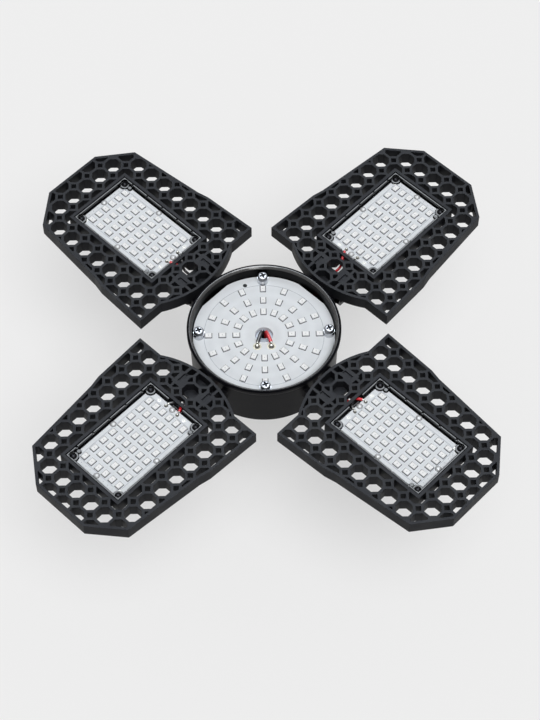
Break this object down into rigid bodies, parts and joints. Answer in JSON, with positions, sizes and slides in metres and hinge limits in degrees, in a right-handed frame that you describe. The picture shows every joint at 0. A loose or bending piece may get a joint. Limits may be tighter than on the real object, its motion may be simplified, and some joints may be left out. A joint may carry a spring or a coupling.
{
  "type": "foldable grow light",
  "caption": "Foldable plant light: a round light hub on a screw cap, with hinged lattice light panels round it that fold back beside the cap.",
  "frame": {"origin": "on the screw cap's axis, in the plane where the lamp holder's rim lies when the cap is screwed home", "axes": "+Z is the way the light shines, along the cap's axis; the panels lie at 45 degrees between X and Y"},
  "size_m": [0.2044, 0.2044, 0.0625],
  "materials": {
    "black_matte_plastic": "fine matte moulding",
    "black_satin_plastic": "satin moulding",
    "black_gloss_plastic": "polished moulding",
    "white_board": "white printed mask on an aluminium core",
    "bare_aluminium": "rolled sheet",
    "green_board": "green printed mask",
    "light_chip": "white moulded chip",
    "clear_plastic": "clear moulding",
    "bright_steel": "bright plated",
    "black_screw": "black oxide",
    "solder": "solder",
    "red_lead": "soft sleeve",
    "black_lead": "soft sleeve",
    "yellow_tape": "taped winding",
    "capacitor_sleeve": "shrink sleeve",
    "cap_metal": "rolled sheet",
    "contact_brass": "pressed"
  },
  "bodies": {
    "hub": {"hub_cup": "black_satin_plastic", "centre_board": "white_board", "centre_heat_plate": "bare_aluminium", "centre_leds": "light_chip", "centre_board_screws": "bright_steel", "centre_screw_washers": "bright_steel", "centre_solder_joints": "solder", "centre_lead_red": "red_lead", "centre_lead_black": "black_lead", "driver_board": "green_board", "driver_screws": "bright_steel", "driver_transformer": "yellow_tape", "driver_capacitors": "capacitor_sleeve", "driver_rectifier": "black_satin_plastic", "rear_housing": "black_satin_plastic", "rear_housing_screws": "black_screw", "cap_shell": "cap_metal", "cap_insulator": "black_gloss_plastic", "cap_contact": "contact_brass", "mains_lead_live": "red_lead", "mains_lead_neutral": "black_lead", "hinge_screws": "black_screw", "hinge_nuts": "black_screw", "hinge_washers": "bright_steel"},
    "panel_1": {"panel_1_frame": "black_matte_plastic", "panel_1_tray": "black_gloss_plastic", "panel_1_tray_screws": "black_screw", "panel_1_board": "white_board", "panel_1_leds": "light_chip", "panel_1_rivets": "clear_plastic", "panel_1_solder_joints": "solder", "panel_1_lead_red": "red_lead", "panel_1_lead_black": "black_lead"},
    "panel_2": {"panel_2_frame": "black_matte_plastic", "panel_2_tray": "black_gloss_plastic", "panel_2_tray_screws": "black_screw", "panel_2_board": "white_board", "panel_2_leds": "light_chip", "panel_2_rivets": "clear_plastic", "panel_2_solder_joints": "solder", "panel_2_lead_red": "red_lead", "panel_2_lead_black": "black_lead"},
    "panel_3": {"panel_3_frame": "black_matte_plastic", "panel_3_tray": "black_gloss_plastic", "panel_3_tray_screws": "black_screw", "panel_3_board": "white_board", "panel_3_leds": "light_chip", "panel_3_rivets": "clear_plastic", "panel_3_solder_joints": "solder", "panel_3_lead_red": "red_lead", "panel_3_lead_black": "black_lead"},
    "panel_4": {"panel_4_frame": "black_matte_plastic", "panel_4_tray": "black_gloss_plastic", "panel_4_tray_screws": "black_screw", "panel_4_board": "white_board", "panel_4_leds": "light_chip", "panel_4_rivets": "clear_plastic", "panel_4_solder_joints": "solder", "panel_4_lead_red": "red_lead", "panel_4_lead_black": "black_lead"}
  },
  "joints": [
    {"name": "panel_1_fold", "type": "hinge", "parent": "hub", "child": "panel_1", "pos_m": [0.02885, 0.02885, 0.0276], "axis": [-0.7071, 0.7071, 0], "range_deg": [0, 90], "deforming": ["panel_1_lead_red", "panel_1_lead_black"]},
    {"name": "panel_2_fold", "type": "hinge", "parent": "hub", "child": "panel_2", "pos_m": [-0.02885, 0.02885, 0.0276], "axis": [-0.7071, -0.7071, 0], "range_deg": [0, 90], "deforming": ["panel_2_lead_red", "panel_2_lead_black"]},
    {"name": "panel_3_fold", "type": "hinge", "parent": "hub", "child": "panel_3", "pos_m": [-0.02885, -0.02885, 0.0276], "axis": [0.7071, -0.7071, 0], "range_deg": [0, 90], "deforming": ["panel_3_lead_red", "panel_3_lead_black"]},
    {"name": "panel_4_fold", "type": "hinge", "parent": "hub", "child": "panel_4", "pos_m": [0.02885, -0.02885, 0.0276], "axis": [0.7071, 0.7071, 0], "range_deg": [0, 90], "deforming": ["panel_4_lead_red", "panel_4_lead_black"]}
  ]
}
